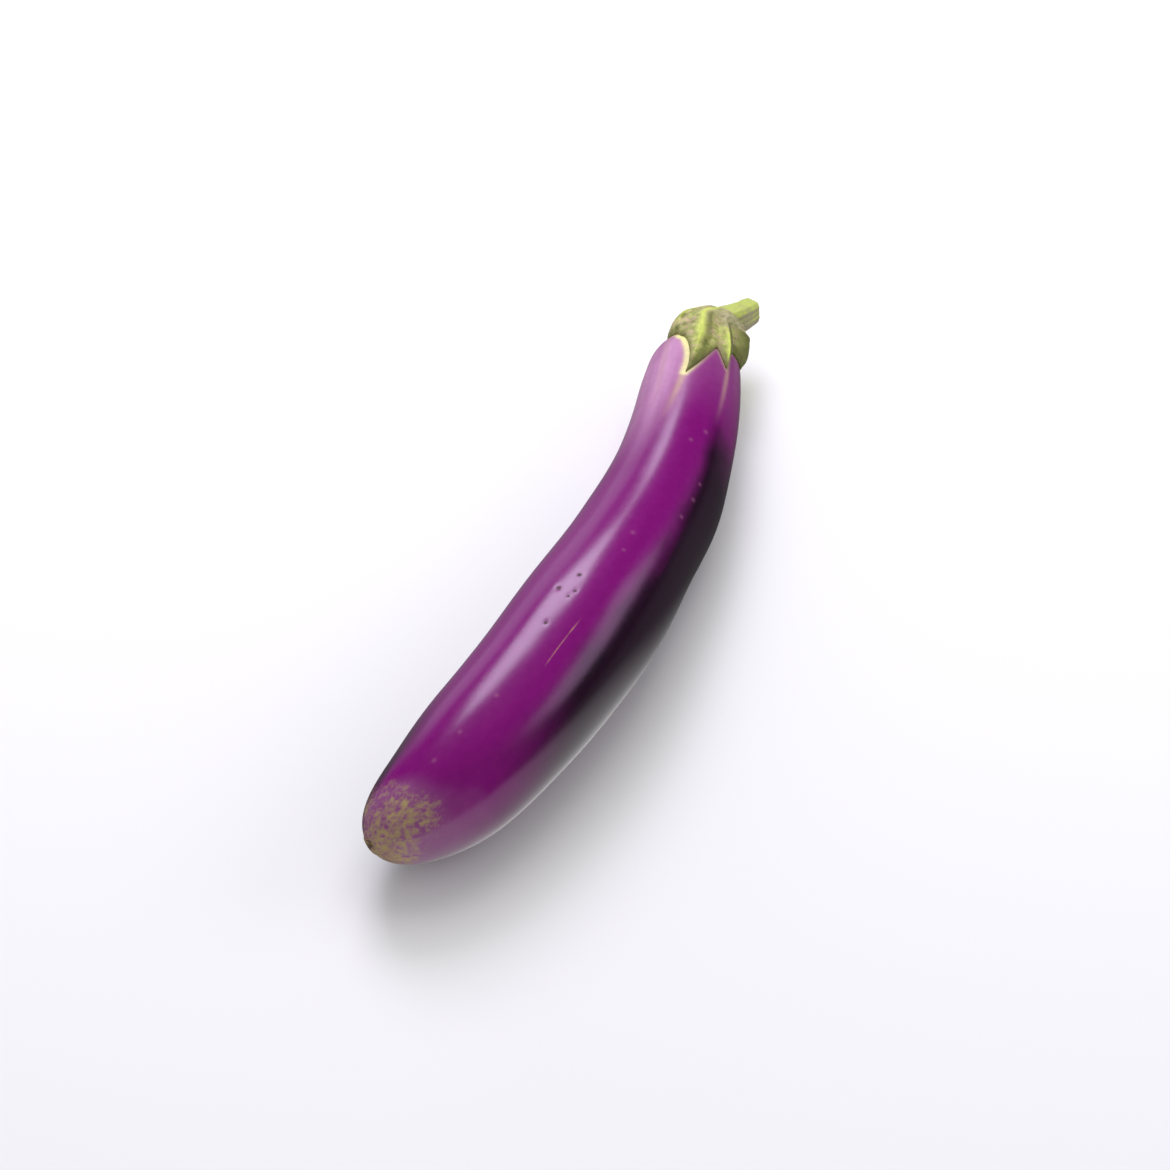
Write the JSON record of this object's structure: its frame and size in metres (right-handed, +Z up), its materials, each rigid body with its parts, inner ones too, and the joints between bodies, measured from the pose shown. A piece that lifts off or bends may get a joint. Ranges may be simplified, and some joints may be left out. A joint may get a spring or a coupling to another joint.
{
  "type": "eggplant",
  "caption": "Long bent purple eggplant lying on its side, with its green lobed calyx and short cut stem.",
  "frame": {"origin": "on the surface that the eggplant lies on, under the middle of its box", "axes": "+Z up, +X along the eggplant towards its stem, -Y towards the outside of its bend"},
  "size_m": [0.2824, 0.0598, 0.0486],
  "materials": {
    "skin": "smooth waxy skin, glossy purple, paler beside the calyx, with a small corky patch at the blossom end",
    "calyx": "fleshy and matt, mottled green to olive-brown, with yellow-green ribs",
    "stem": "fine-ridged and matt, yellow-green, with a pale brown cut end"
  },
  "bodies": {
    "root": {"fruit": "skin", "calyx": "calyx", "stem": "stem"}
  },
  "joints": []
}
